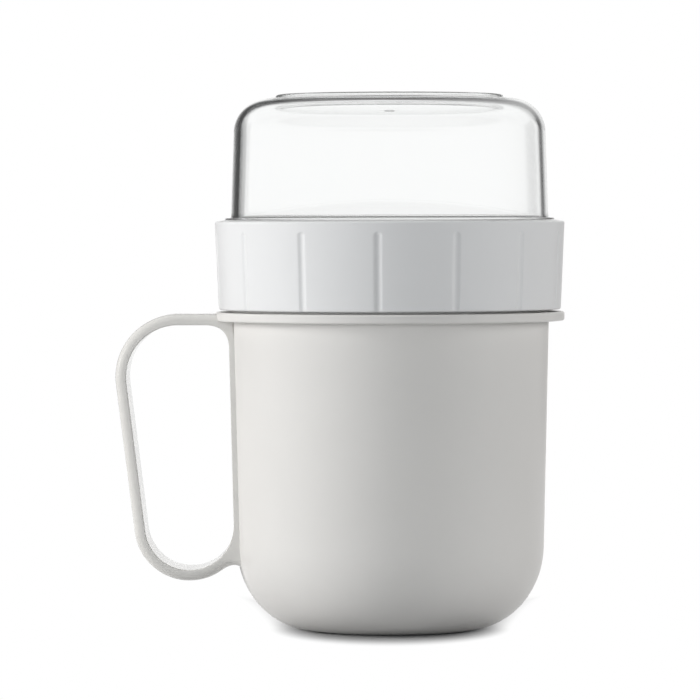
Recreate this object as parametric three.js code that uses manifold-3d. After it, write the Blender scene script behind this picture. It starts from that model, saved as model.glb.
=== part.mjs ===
// Breakfast to-go cup: a mug with a band handle, a fluted collar that screws onto the mug's neck and
// holds a divider disc, and a clear bowl that screws mouth down into the collar's upper end.
// Millimetres, +Z up. The origin is the centre of the mug's flat base; the handle is on the -X side.

import * as THREE from "three";
import { mergeVertices } from "three/addons/utils/BufferGeometryUtils.js";
import Module from "manifold-3d";

const wasm = await Module();
wasm.setup();

// Clearances
const SEAT_GAP = 0.3; // between faces that touch on the real cup
const WELD_GAP = 0.2; // between the handle's pad and the mug it is welded to
const THREAD_GAP = 0.4; // from a ridge's crest to the wall that it faces
const SNAP_GAP = 0.4; // round the divider's edge, inside the collar

// Mug
const MUG_TOP_RADIUS = 47.65; // outside, just under the flange; the necks and the collar follow it
const MUG_LOW_RADIUS = 46.1; // outside, where the base rounding ends
const MUG_FLANGE_TOP = 94.5; // height of the stop flange's upper face
const MUG_WALL = 2.1;
const MUG_FLOOR = 2.4;
const BASE_ROUND_REACH = 22; // how far the base rounding comes in from the wall
const BASE_ROUND_RISE = 24.5; // how far it climbs the wall
const FLANGE_PROUD = 1.1; // beyond the collar's lower edge
const FLANGE_THICK = 2.3;
const FLANGE_EDGE_ROUND = 0.6;
const NECK_STEP = 0.25; // neck set in from the wall under the flange
const NECK_WALL = 2.1;
const NECK_RISE = 10.6; // from the flange's upper face to the rim
const RIM_ROUND = 0.6;

// Threads: short parallel ridges, the same number on every neck and in every bore
const THREAD_STARTS = 3;
const THREAD_PITCH = 4; // between neighbouring ridges, along the axis
const RIDGE_SPAN_DEG = 100;
const RIDGE_RUN_OUT_DEG = 12; // over which a ridge fades into its wall at either end
const RIDGE_ROOT_WIDTH = 1.8;
const RIDGE_CREST_WIDTH = 0.9;
const RIDGE_ROOT_SUNK = 0.4; // how deep a ridge is rooted in its wall
const MUG_RIDGE_HEIGHT = 1.3;
const MUG_RIDGE_START = 3.5; // from the collar's lower edge to a ridge's low end
const BOWL_RIDGE_HEIGHT = 1.1;
const BOWL_RIDGE_START = 2.4; // from the bowl's rim to a ridge's low end

// Collar
const COLLAR_STAND_OFF = 1.2; // open gap above the flange
const COLLAR_WALL = 2.15; // at its lower edge
const COLLAR_FLARE = 1.15; // how much wider it is at the top
const COLLAR_BORE_STEP = 1; // upper bore set in from the lower one
const COLLAR_CROWN = 0.5; // how far its top face climbs towards the bowl
const COLLAR_EDGE_ROUND = 0.6;
const COLLAR_LIP_DEPTH = 1.1; // the two lips that trap the divider
const COLLAR_LIP_THICK = 1.2;
const COLLAR_LEDGE = 0.9; // step under the bowl's seal
const FLUTE_COUNT = 14;
const FLUTE_PHASE_DEG = -94.3; // of the flute nearest the front, from +X
const FLUTE_WIDTH = 2.2;
const FLUTE_DEPTH = 0.4;
const FLUTE_TOP_MARGIN = 3; // plain wall above a flute's round end

// Divider disc and the seal under it
const DIVIDER_PLATE = 2;
const DIVIDER_ROOF = 0.7; // plate underside above the seal groove's roof
const GROOVE_WALL = 0.5; // outside the seal groove
const GROOVE_INNER_WALL = 1.5;
const MUG_SEAL_WIDTH = 1.5;
const MUG_SEAL_THICK = 1.8;
const MUG_SEAL_PROUD = 0.9; // how far it stands out of its groove

// Clear bowl and its seal
const BOWL_RISE = 36.4; // from the bowl flange's upper face to the foot ring's top
const BOWL_NECK_LENGTH = 12.35; // from its rim to its flange; sets the collar's height
const BOWL_NECK_STEP = 1; // neck set in from the wall above the flange
const BOWL_DRAFT = 0.85; // how much narrower the wall is at the shoulder
const BOWL_SHOULDER_ROUND = 10;
const BOWL_WALL = 2.1;
const BOWL_PLATE = 2.3;
const BOWL_NECK_WALL = 1.4;
const BOWL_FLANGE_LAP = 0.4; // how far its flange lies over the collar
const BOWL_FLANGE_THICK = 0.75;
const FOOT_INSET = 2.55; // foot ring's outside, from the shoulder's inner end
const FOOT_WIDTH = 1.7;
const FOOT_HEIGHT = 0.8;
const FOOT_RECESS = 2; // from the foot ring's top down to the plate inside it
const BOWL_SEAL_THICK = 1.5;

// Handle: one closed D-shaped band
const HANDLE_STAND_OUT = 34.75; // from the wall under the flange to the band's outermost point
const HANDLE_DEPTH = 21; // width of the band, across the hand
const HANDLE_THICK = 3.5;
const HANDLE_ARM_DROP = 0.3; // upper arm's top face below the flange's
const HANDLE_BOTTOM = 14.4; // height of the band's lowest point
const HANDLE_UPPER_ROUND = 18.8; // outside radius of the upper bend
const HANDLE_LOWER_ROUND = 16.8; // outside radius of the lower bend
const HANDLE_PAD_PROUD = 0.7; // how far the pad stands out of the mug's wall
const HANDLE_CORNER_ROUND = 7; // between the upper arm and the pad
const HANDLE_HEEL_ROUND = 2.6; // between the lower bend's underside and the wall
const HANDLE_EDGE_ROUND = 1.3; // along the band's outer edges
const HANDLE_ROOT = 6; // how far its blank runs into the wall before it is cut to fit

// Smoothness of round shapes
const TURN_SEGMENTS = 56;
const BEND_STEPS = 8;
const EDGE_STEPS = 2;
const RIDGE_STEPS = 14;
const FLUTE_SEGMENTS = 16;
const MERGE_DISTANCE = 1e-4; // corners closer than this are one

const rad = THREE.MathUtils.degToRad;

// Levels and radii that follow from the sizes above
const threadLead = THREAD_STARTS * THREAD_PITCH;
const flangeBottom = MUG_FLANGE_TOP - FLANGE_THICK;
const mugRim = MUG_FLANGE_TOP + NECK_RISE;
const neckRadius = MUG_TOP_RADIUS - NECK_STEP;
const mugMouthRadius = neckRadius - NECK_WALL;
const mugCrestRadius = neckRadius + MUG_RIDGE_HEIGHT;
const baseFlatRadius = MUG_LOW_RADIUS - BASE_ROUND_REACH;

const lowerBore = mugCrestRadius + THREAD_GAP;
const upperBore = lowerBore - COLLAR_BORE_STEP;
const lipRadius = lowerBore - COLLAR_LIP_DEPTH;
const seatRadius = upperBore + COLLAR_LEDGE;
const collarLowRadius = lowerBore + COLLAR_WALL;
const collarTopRadius = collarLowRadius + COLLAR_FLARE;
const flangeRadius = collarLowRadius + FLANGE_PROUD;

const mugSealBottom = mugRim + SEAT_GAP;
const mugSealTop = mugSealBottom + MUG_SEAL_THICK;
const grooveRoof = mugSealTop + SEAT_GAP;
const dividerSkirtBottom = mugSealBottom + MUG_SEAL_PROUD;
const dividerBottom = grooveRoof + DIVIDER_ROOF;
const dividerTop = dividerBottom + DIVIDER_PLATE;
const dividerEdgeRadius = lowerBore - SNAP_GAP;
const dividerSkirtRadius = lipRadius - SNAP_GAP;
const grooveOuterRadius = dividerSkirtRadius - GROOVE_WALL;
const mugSealOuterRadius = grooveOuterRadius - SEAT_GAP;
const mugSealInnerRadius = mugSealOuterRadius - MUG_SEAL_WIDTH;
const grooveInnerRadius = mugSealInnerRadius - SEAT_GAP;

const bowlCrestRadius = upperBore - THREAD_GAP;
const bowlNeckRadius = bowlCrestRadius - BOWL_RIDGE_HEIGHT;
const bowlLowRadius = bowlNeckRadius + BOWL_NECK_STEP;
const bowlHighRadius = bowlLowRadius - BOWL_DRAFT;
const bowlFlangeRadius = seatRadius + BOWL_FLANGE_LAP;
const bowlRim = dividerTop + SEAT_GAP;
const bowlFlangeBottom = bowlRim + BOWL_NECK_LENGTH;
const bowlFlangeTop = bowlFlangeBottom + BOWL_FLANGE_THICK;
const bowlTop = bowlFlangeTop + BOWL_RISE;
const bowlShoulderTop = bowlTop - FOOT_HEIGHT;
const bowlPlateTop = bowlTop - FOOT_RECESS;
const bowlPlateBottom = bowlPlateTop - BOWL_PLATE;
const bowlMouthRadius = bowlNeckRadius - BOWL_NECK_WALL;
const bowlSealTop = bowlFlangeBottom - SEAT_GAP;
const bowlSealBottom = bowlSealTop - BOWL_SEAL_THICK;
const sealLedge = bowlSealBottom - SEAT_GAP;

const collarBottom = MUG_FLANGE_TOP + COLLAR_STAND_OFF;
const collarTop = bowlFlangeBottom - SEAT_GAP;
const collarShoulder = collarTop - COLLAR_CROWN;

const mugRidgeLow = collarBottom + MUG_RIDGE_START;
const bowlRidgeLow = bowlRim + BOWL_RIDGE_START;

const point = (r, z) => new THREE.Vector2(r, z);

// An elliptical arc in the turning plane, round (r, z), from one angle to another.
function arc(r, z, reachR, reachZ, fromDeg, toDeg, steps) {
  return Array.from({ length: steps + 1 }, (_, i) => {
    const turn = rad(fromDeg + ((toDeg - fromDeg) * i) / steps);
    return point(r + reachR * Math.cos(turn), z + reachZ * Math.sin(turn));
  });
}

// A closed geometry as a solid: shared corners merged, flat slivers dropped, faces turned outwards.
function solidOf(geometry) {
  geometry.deleteAttribute("normal");
  geometry.deleteAttribute("uv");
  const merged = mergeVertices(geometry, MERGE_DISTANCE);
  const corners = merged.getIndex().array;
  const kept = [];
  for (let i = 0; i < corners.length; i += 3) {
    const [a, b, c] = corners.slice(i, i + 3);
    if (a !== b && b !== c && c !== a) kept.push(a, b, c);
  }
  const vertProperties = new Float32Array(merged.getAttribute("position").array);
  const triVerts = new Uint32Array(signedVolume(vertProperties, kept) < 0 ? kept.reverse() : kept);
  return new wasm.Manifold(new wasm.Mesh({ numProp: 3, vertProperties, triVerts }));
}

// The volume that a closed triangle mesh holds, negative where its faces point inwards.
function signedVolume(places, corners) {
  const [a, b, c] = [0, 1, 2].map(() => new THREE.Vector3());
  let volume = 0;
  for (let i = 0; i < corners.length; i += 3) {
    a.fromArray(places, 3 * corners[i]);
    b.fromArray(places, 3 * corners[i + 1]);
    c.fromArray(places, 3 * corners[i + 2]);
    volume += a.dot(b.cross(c)) / 6;
  }
  return volume;
}

// A profile of (radius, height) points turned once round the cup's axis.
function turned(profile) {
  return solidOf(new THREE.LatheGeometry(profile, TURN_SEGMENTS).rotateX(Math.PI / 2));
}

// A closed loop of (radius, height) points turned into a ring.
function ring(loop) {
  return turned([...loop, loop[0].clone()]);
}

// A rectangular ring between two radii and two heights.
function flatRing(inner, outer, bottom, top) {
  return ring([point(inner, bottom), point(outer, bottom), point(outer, top), point(inner, top)]);
}

// One thread ridge: a trapezoid carried up a helix, whose crest sinks into the wall at both ends.
function threadRidge(wallRadius, crestRadius, lowEnd, startDeg) {
  const outwards = Math.sign(crestRadius - wallRadius);
  const rootRadius = wallRadius - outwards * RIDGE_ROOT_SUNK;
  const places = [];
  for (let i = 0; i <= RIDGE_STEPS; i += 1) {
    const along = (RIDGE_SPAN_DEG * i) / RIDGE_STEPS;
    const turn = rad(startDeg + along);
    const height = lowEnd + (threadLead * along) / 360;
    const fade = Math.min(1, along / RIDGE_RUN_OUT_DEG, (RIDGE_SPAN_DEG - along) / RIDGE_RUN_OUT_DEG);
    const sunkCrest = rootRadius + (outwards * RIDGE_ROOT_SUNK) / 2;
    const crest = THREE.MathUtils.lerp(sunkCrest, crestRadius, fade);
    const section = [
      [rootRadius, height - RIDGE_ROOT_WIDTH / 2],
      [crest, height - RIDGE_CREST_WIDTH / 2],
      [crest, height + RIDGE_CREST_WIDTH / 2],
      [rootRadius, height + RIDGE_ROOT_WIDTH / 2],
    ];
    for (const [r, z] of section) places.push(r * Math.cos(turn), r * Math.sin(turn), z);
  }
  const sides = 4;
  const corners = [0, 1, 2, 0, 2, 3];
  for (let i = 0; i < RIDGE_STEPS; i += 1) {
    for (let k = 0; k < sides; k += 1) {
      const a = sides * i + k;
      const b = sides * i + ((k + 1) % sides);
      corners.push(a, a + sides, b, b, a + sides, b + sides);
    }
  }
  const last = sides * RIDGE_STEPS;
  corners.push(last, last + 2, last + 1, last, last + 3, last + 2);
  const geometry = new THREE.BufferGeometry();
  geometry.setAttribute("position", new THREE.Float32BufferAttribute(places, 3));
  geometry.setIndex(corners);
  return solidOf(geometry);
}

// A wall with its full set of ridges, evenly spread round it.
function threaded(body, wallRadius, crestRadius, lowEnd) {
  let result = body;
  for (let start = 0; start < THREAD_STARTS; start += 1) {
    result = result.add(threadRidge(wallRadius, crestRadius, lowEnd, (360 * start) / THREAD_STARTS));
  }
  return result;
}

// Outside radius of the mug's drafted wall at a height.
function mugWallRadius(z) {
  return THREE.MathUtils.mapLinear(z, BASE_ROUND_RISE, flangeBottom, MUG_LOW_RADIUS, MUG_TOP_RADIUS);
}

// The mug's outside from the middle of the base up to the rim, grown by a gap.
function mugOutline(gap) {
  const reach = BASE_ROUND_REACH + gap;
  const rise = BASE_ROUND_RISE + gap;
  const edgeRound = FLANGE_EDGE_ROUND;
  const edge = flangeRadius + gap - edgeRound;
  const low = flangeBottom - gap;
  const high = MUG_FLANGE_TOP + gap;
  return [
    point(0, -gap),
    ...arc(baseFlatRadius, BASE_ROUND_RISE, reach, rise, -90, 0, BEND_STEPS),
    point(MUG_TOP_RADIUS + gap, low),
    ...arc(edge, low + edgeRound, edgeRound, edgeRound, -90, 0, EDGE_STEPS),
    ...arc(edge, high - edgeRound, edgeRound, edgeRound, 0, 90, EDGE_STEPS),
    point(neckRadius + gap, high),
    ...arc(neckRadius + gap - RIM_ROUND, mugRim + gap - RIM_ROUND, RIM_ROUND, RIM_ROUND, 0, 90, EDGE_STEPS),
  ];
}

function makeMugShell() {
  const reach = BASE_ROUND_REACH - MUG_WALL;
  const rise = BASE_ROUND_RISE - MUG_FLOOR;
  const inside = [
    point(mugMouthRadius, mugRim),
    ...arc(baseFlatRadius, BASE_ROUND_RISE, reach, rise, 0, -90, BEND_STEPS),
    point(0, MUG_FLOOR),
  ];
  const body = turned([...mugOutline(0), ...inside]);
  return threaded(body, neckRadius, mugCrestRadius, mugRidgeLow);
}

// The band's outline seen from the front, and the finger opening inside it.
function handleShapes() {
  const top = MUG_FLANGE_TOP - HANDLE_ARM_DROP;
  const armBottom = top - HANDLE_THICK;
  const padX = (z) => -(mugWallRadius(z) + HANDLE_PAD_PROUD);
  const upperX = HANDLE_UPPER_ROUND - HANDLE_STAND_OUT - MUG_TOP_RADIUS;
  const upperZ = top - HANDLE_UPPER_ROUND;
  const lowerZ = HANDLE_BOTTOM + HANDLE_LOWER_ROUND;
  const upperInner = HANDLE_UPPER_ROUND - HANDLE_THICK;
  const lowerInner = HANDLE_LOWER_ROUND - HANDLE_THICK;
  const lowerX = padX(lowerZ) - lowerInner;
  // The straight leg touches both bends: its normal leans by the difference of their radii.
  const between = point(lowerX - upperX, lowerZ - upperZ);
  const lean = Math.acos((HANDLE_UPPER_ROUND - HANDLE_LOWER_ROUND) / between.length());
  const legNormal = between.angle() - lean;
  const rootX = HANDLE_ROOT - MUG_LOW_RADIUS;
  // The heel is where the lower bend's underside runs into the mug's wall.
  const heelX = -mugWallRadius(lowerZ);
  const heelTurn = -Math.acos((heelX - lowerX) / HANDLE_LOWER_ROUND);
  const heelZ = lowerZ + HANDLE_LOWER_ROUND * Math.sin(heelTurn);
  const heelStart = heelTurn - HANDLE_HEEL_ROUND / HANDLE_LOWER_ROUND;

  const outline = new THREE.Shape();
  outline.moveTo(rootX, top);
  outline.lineTo(upperX, top);
  outline.absarc(upperX, upperZ, HANDLE_UPPER_ROUND, Math.PI / 2, legNormal, false);
  outline.absarc(lowerX, lowerZ, HANDLE_LOWER_ROUND, legNormal, 2 * Math.PI + heelStart, false);
  outline.quadraticCurveTo(heelX, heelZ, heelX, heelZ - HANDLE_HEEL_ROUND);
  outline.lineTo(rootX, heelZ - HANDLE_HEEL_ROUND);
  outline.closePath();

  const opening = new THREE.Shape();
  const cornerZ = armBottom - HANDLE_CORNER_ROUND;
  opening.moveTo(upperX, armBottom);
  opening.lineTo(padX(armBottom) - HANDLE_CORNER_ROUND, armBottom);
  opening.quadraticCurveTo(padX(armBottom), armBottom, padX(cornerZ), cornerZ);
  opening.lineTo(padX(lowerZ), lowerZ);
  opening.absarc(lowerX, lowerZ, lowerInner, 0, legNormal - 2 * Math.PI, true);
  opening.absarc(upperX, upperZ, upperInner, legNormal, Math.PI / 2, true);
  opening.closePath();
  return { outline, opening };
}

// A front-view shape given depth across the hand, centred on the cup's middle plane.
function acrossHand(shape, depth, edgeRound) {
  const geometry = new THREE.ExtrudeGeometry(shape, {
    depth: depth - 2 * edgeRound,
    curveSegments: BEND_STEPS,
    bevelEnabled: edgeRound > 0,
    bevelSize: edgeRound,
    bevelThickness: edgeRound,
    bevelOffset: -edgeRound,
    bevelSegments: EDGE_STEPS,
  });
  return solidOf(geometry.rotateX(Math.PI / 2).translate(0, depth / 2 - edgeRound, 0));
}

function makeHandle() {
  const { outline, opening } = handleShapes();
  const band = acrossHand(outline, HANDLE_DEPTH, HANDLE_EDGE_ROUND);
  const fingerGap = acrossHand(opening, 2 * HANDLE_DEPTH, 0);
  const mugSpace = turned([...mugOutline(WELD_GAP), point(0, mugRim + WELD_GAP)]);
  return band.subtract(fingerGap).subtract(mugSpace);
}

// One flute's cutter: a round-ended rod lying along the collar's slanted wall.
function fluteCutter(turnDeg) {
  const rodRadius = (FLUTE_WIDTH ** 2 / 4 + FLUTE_DEPTH ** 2) / (2 * FLUTE_DEPTH);
  const height = collarShoulder - collarBottom;
  const slant = Math.atan2(COLLAR_FLARE, height);
  const length = 2 * (height - FLUTE_TOP_MARGIN - FLUTE_WIDTH / 2);
  const rod = new THREE.CapsuleGeometry(rodRadius, length, EDGE_STEPS, FLUTE_SEGMENTS);
  rod.rotateX(Math.PI / 2);
  rod.rotateY(slant);
  rod.translate(collarLowRadius - FLUTE_DEPTH + rodRadius, 0, collarBottom);
  rod.rotateZ(rad(turnDeg));
  return solidOf(rod);
}

function makeScrewCollar() {
  const edgeRound = COLLAR_EDGE_ROUND;
  const body = ring([
    point(lowerBore, collarBottom),
    ...arc(collarLowRadius - edgeRound, collarBottom + edgeRound, edgeRound, edgeRound, -90, 0, EDGE_STEPS),
    ...arc(collarTopRadius - edgeRound, collarShoulder - edgeRound, edgeRound, edgeRound, 0, 90, EDGE_STEPS),
    point(seatRadius, collarTop),
    point(seatRadius, sealLedge),
    point(upperBore, sealLedge),
    point(upperBore, dividerTop + SEAT_GAP + COLLAR_LIP_THICK),
    point(lipRadius, dividerTop + SEAT_GAP + COLLAR_LIP_THICK),
    point(lipRadius, dividerTop + SEAT_GAP),
    point(lowerBore, dividerTop + SEAT_GAP),
    point(lowerBore, dividerBottom - SEAT_GAP),
    point(lipRadius, dividerBottom - SEAT_GAP),
    point(lipRadius, dividerBottom - SEAT_GAP - COLLAR_LIP_THICK),
    point(lowerBore, dividerBottom - SEAT_GAP - COLLAR_LIP_THICK),
  ]);
  // The collar's ridges run half a pitch below the mug's and half a pitch above the bowl's.
  const toMug = threaded(body, lowerBore, neckRadius + THREAD_GAP, mugRidgeLow - THREAD_PITCH / 2);
  const toBowl = threaded(toMug, upperBore, bowlNeckRadius + THREAD_GAP, bowlRidgeLow + THREAD_PITCH / 2);
  let collar = toBowl;
  for (let flute = 0; flute < FLUTE_COUNT; flute += 1) {
    collar = collar.subtract(fluteCutter(FLUTE_PHASE_DEG + (360 * flute) / FLUTE_COUNT));
  }
  return collar;
}

function makeDividerDisc() {
  const skirtInner = grooveInnerRadius - GROOVE_INNER_WALL;
  return turned([
    point(0, dividerBottom),
    point(skirtInner, dividerBottom),
    point(skirtInner, dividerSkirtBottom),
    point(grooveInnerRadius, dividerSkirtBottom),
    point(grooveInnerRadius, grooveRoof),
    point(grooveOuterRadius, grooveRoof),
    point(grooveOuterRadius, dividerSkirtBottom),
    point(dividerSkirtRadius, dividerSkirtBottom),
    point(dividerSkirtRadius, dividerBottom),
    point(dividerEdgeRadius, dividerBottom),
    point(dividerEdgeRadius, dividerTop),
    point(0, dividerTop),
  ]);
}

function makeClearBowl() {
  const shoulder = BOWL_SHOULDER_ROUND;
  const innerShoulder = shoulder - BOWL_WALL;
  const shoulderR = bowlHighRadius - shoulder;
  const footRadius = shoulderR - FOOT_INSET;
  const footInner = footRadius - FOOT_WIDTH;
  const body = turned([
    point(0, bowlPlateBottom),
    ...arc(shoulderR, bowlPlateBottom - innerShoulder, innerShoulder, innerShoulder, 90, 0, BEND_STEPS),
    point(bowlMouthRadius, bowlRim),
    point(bowlNeckRadius, bowlRim),
    point(bowlNeckRadius, bowlFlangeBottom),
    point(bowlFlangeRadius, bowlFlangeBottom),
    point(bowlFlangeRadius, bowlFlangeTop),
    point(bowlLowRadius, bowlFlangeTop),
    ...arc(shoulderR, bowlShoulderTop - shoulder, shoulder, shoulder, 0, 90, BEND_STEPS),
    point(footRadius, bowlShoulderTop),
    point(footRadius, bowlTop),
    point(footInner, bowlTop),
    point(footInner, bowlPlateTop),
    point(0, bowlPlateTop),
  ]);
  return threaded(body, bowlNeckRadius, bowlCrestRadius, bowlRidgeLow);
}

const finish = (color, roughness, extra = {}) =>
  new THREE.MeshStandardMaterial({ color, roughness, metalness: 0, ...extra });

// A named mesh from a finished solid.
function piece(name, solid, material) {
  const { vertProperties, triVerts } = solid.getMesh();
  const geometry = new THREE.BufferGeometry();
  geometry.setAttribute("position", new THREE.BufferAttribute(vertProperties, 3));
  geometry.setIndex(new THREE.BufferAttribute(triVerts, 1));
  const mesh = new THREE.Mesh(geometry, material);
  mesh.name = name;
  return mesh;
}

const cup = new THREE.Group();
cup.name = "breakfast_cup";
cup.add(
  piece("mug_shell", makeMugShell(), finish(0xd6d3ce, 0.5)),
  piece("handle", makeHandle(), finish(0xd2d1ca, 0.5)),
  piece("screw_collar", makeScrewCollar(), finish(0xdadddd, 0.45)),
  piece("divider_disc", makeDividerDisc(), finish(0xe2e3e2, 0.5)),
  piece(
    "mug_seal",
    flatRing(mugSealInnerRadius, mugSealOuterRadius, mugSealBottom, mugSealTop),
    finish(0xe9e9e6, 0.7),
  ),
  piece(
    "bowl_seal",
    flatRing(bowlNeckRadius + SEAT_GAP, seatRadius - SEAT_GAP, bowlSealBottom, bowlSealTop),
    finish(0xe9e9e6, 0.7),
  ),
  piece("clear_bowl", makeClearBowl(), finish(0xf4f8f8, 0.05, { transparent: true, opacity: 0.3 })),
);

export default cup;
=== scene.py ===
"""A breakfast to-go cup: a mug with a band handle, a fluted screw collar, a divider and a clear bowl.

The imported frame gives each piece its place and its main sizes. Every piece made here is a smooth surface
that stands for one of the frame's faceted solids, moves with that solid's body and carries its own finish.
Sizes are millimetres until a surface becomes a mesh.
"""

import logging
import math
from collections.abc import Callable, Mapping, Sequence
from dataclasses import dataclass
from enum import Enum

import bpy
import numpy as np
from mathutils import Euler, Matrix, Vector


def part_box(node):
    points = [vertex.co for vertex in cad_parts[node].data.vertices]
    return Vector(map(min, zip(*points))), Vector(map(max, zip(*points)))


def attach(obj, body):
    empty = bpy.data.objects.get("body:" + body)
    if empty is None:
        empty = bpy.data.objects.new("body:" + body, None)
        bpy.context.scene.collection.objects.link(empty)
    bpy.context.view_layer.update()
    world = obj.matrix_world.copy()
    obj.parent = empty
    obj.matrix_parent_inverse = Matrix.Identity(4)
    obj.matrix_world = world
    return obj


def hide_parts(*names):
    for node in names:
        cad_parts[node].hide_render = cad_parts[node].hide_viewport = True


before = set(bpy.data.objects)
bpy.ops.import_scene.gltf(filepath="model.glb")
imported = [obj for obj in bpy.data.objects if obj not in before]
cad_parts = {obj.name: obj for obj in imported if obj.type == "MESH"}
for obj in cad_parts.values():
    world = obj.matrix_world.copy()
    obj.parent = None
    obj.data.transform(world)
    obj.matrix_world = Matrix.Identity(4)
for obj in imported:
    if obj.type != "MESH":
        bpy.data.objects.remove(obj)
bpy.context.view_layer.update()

LOG = logging.getLogger("breakfast_cup")
MM = 0.001  # one millimetre in the frame's metres
PHOTO_SIDE = 700  # pixels along each side of the photograph
TINY = 1e-6
NEAR = 0.01  # points this close to a straight wall or a flat face, in millimetres, lie on it
SHARP_EDGE_DEG = 45.0
NOISE_MIDDLE = 0.5  # what noise is on average
RAMP_ENDS = (0.3, 0.7)  # the noise that takes the first and the second colour of a ramp
WHITE = (1.0, 1.0, 1.0)

Colour = tuple[float, float, float]
Point = Sequence[float]
Input = "Value | float | Sequence[float]"


class Body(Enum):
    """The frame's bodies that pieces ride on."""

    MUG = "mug"
    DIVIDER = "divider"
    COLLAR = "collar"
    BOWL_RING = "bowl_ring"
    BOWL = "bowl"


class Slot(Enum):
    """The record's material slots."""

    MUG = "mug_plastic"
    COLLAR = "collar_plastic"
    DIVIDER = "divider_plastic"
    SEAL = "seal_silicone"
    BOWL = "bowl_clear"


def box_of(node: str) -> tuple[np.ndarray, np.ndarray]:
    """Gives a frame node's box in millimetres.

    Args:
        node: The frame node's name.

    Returns:
        Its lowest and its highest corner.
    """
    low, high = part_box(node)
    return np.array(low) / MM, np.array(high) / MM


def srgb(red: int, green: int, blue: int) -> Colour:
    """Turns a colour as seen on a screen, 0 to 255, into the linear one that shaders take.

    A screen's curve is straight at its dark end and close to a power of 2.4 above it.

    Args:
        red: Red, 0 to 255.
        green: Green, 0 to 255.
        blue: Blue, 0 to 255.

    Returns:
        The linear colour, 0 to 1.
    """
    seen = np.array([red, green, blue]) / 255
    linear = np.where(seen <= 0.04045, seen / 12.92, ((seen + 0.055) / 1.055) ** 2.4)
    return tuple(float(part) for part in linear)


@dataclass(frozen=True)
class Corner:
    """One corner of a profile.

    Attributes:
        radius: Distance from the cup's axis.
        height: Height over the table.
        bend: How far before the corner its rounding starts.
        bend_out: How far after it the rounding ends; as far as before it if not given.
    """

    radius: float
    height: float
    bend: float = 0.0
    bend_out: float | None = None


def drawn(corners: Sequence[Corner], closed: bool, steps: int = 10, guard: float = 0.2) -> np.ndarray:
    """Draws a profile with its corners rounded.

    Each rounding is a quarter of an ellipse or a smaller arc, as a rational quadratic curve: the mean of
    its start, its corner and its end with the weights (1 - t)^2, 2 w t (1 - t) and t^2, where w is the
    sine of half the corner's angle. A guard point a little before and after each rounding keeps the
    shading of the straight runs flat.

    Args:
        corners: The profile's corners in order.
        closed: Whether the last corner joins the first.
        steps: Steps along each rounding.
        guard: Distance of the guard points.

    Returns:
        The profile's points as rows of radius and height.
    """
    place = np.array([(c.radius, c.height) for c in corners])
    run_in = np.array([c.bend for c in corners])
    run_out = np.array([c.bend if c.bend_out is None else c.bend_out for c in corners])
    after = np.roll(place, -1, axis=0) - place
    if not closed:
        after[-1] = 0
    length = np.linalg.norm(after, axis=1)
    ahead = after / np.maximum(length, TINY)[:, None]
    back = -np.roll(ahead, 1, axis=0)
    straight = np.maximum(length - run_out - np.roll(run_in, -1), 0)
    guard_out = np.minimum(guard, straight / 3)
    guard_in = np.roll(guard_out, 1)
    start = place + back * run_in[:, None]
    end = place + ahead * run_out[:, None]
    half_angle = np.arccos(np.clip((back * ahead).sum(axis=1), -1, 1)) / 2
    t = np.linspace(0, 1, steps + 1)
    pull = 2 * np.sin(half_angle)[:, None] * t * (1 - t)
    weights = np.stack(np.broadcast_arrays((1 - t) ** 2, pull, t**2), axis=-1)
    bends = np.einsum("cti,cik->ctk", weights, np.stack([start, place, end], axis=1))
    bends /= weights.sum(axis=-1, keepdims=True)
    before = (start + back * guard_in[:, None])[:, None]
    behind = (end + ahead * guard_out[:, None])[:, None]
    points = np.concatenate([before, bends, behind], axis=1).reshape(-1, 2)
    step = np.linalg.norm(points - np.roll(points, 1, axis=0), axis=1)
    step[0] = step[0] if closed else 1
    return points[step > TINY]


@dataclass(frozen=True)
class Window:
    """A stretch of a profile that needs points close together.

    Attributes:
        radii: Its lowest and its highest radius.
        heights: Its lowest and its highest height.
        spacing: Distance between the added points.
        closest: Least distance between any two points.
    """

    radii: tuple[float, float]
    heights: tuple[float, float]
    spacing: float
    closest: float = 0.025

    def refine(self, profile: np.ndarray) -> np.ndarray:
        """Adds evenly spaced points to the profile's runs inside the window.

        Args:
            profile: Rows of radius and height.

        Returns:
            The same outline with the added points, ordered by the distance along it.
        """
        along = np.append(0, np.cumsum(np.linalg.norm(np.diff(profile, axis=0), axis=1)))
        extra = np.arange(0, along[-1], self.spacing)
        radius, height = (np.interp(extra, along, column) for column in profile.T)
        inside = (radius > self.radii[0]) & (radius < self.radii[1])
        inside &= (height > self.heights[0]) & (height < self.heights[1])
        stations = np.union1d(along, extra[inside])
        stations = stations[np.append(True, np.diff(stations) > self.closest)]
        return np.stack([np.interp(stations, along, column) for column in profile.T], axis=1)


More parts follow.
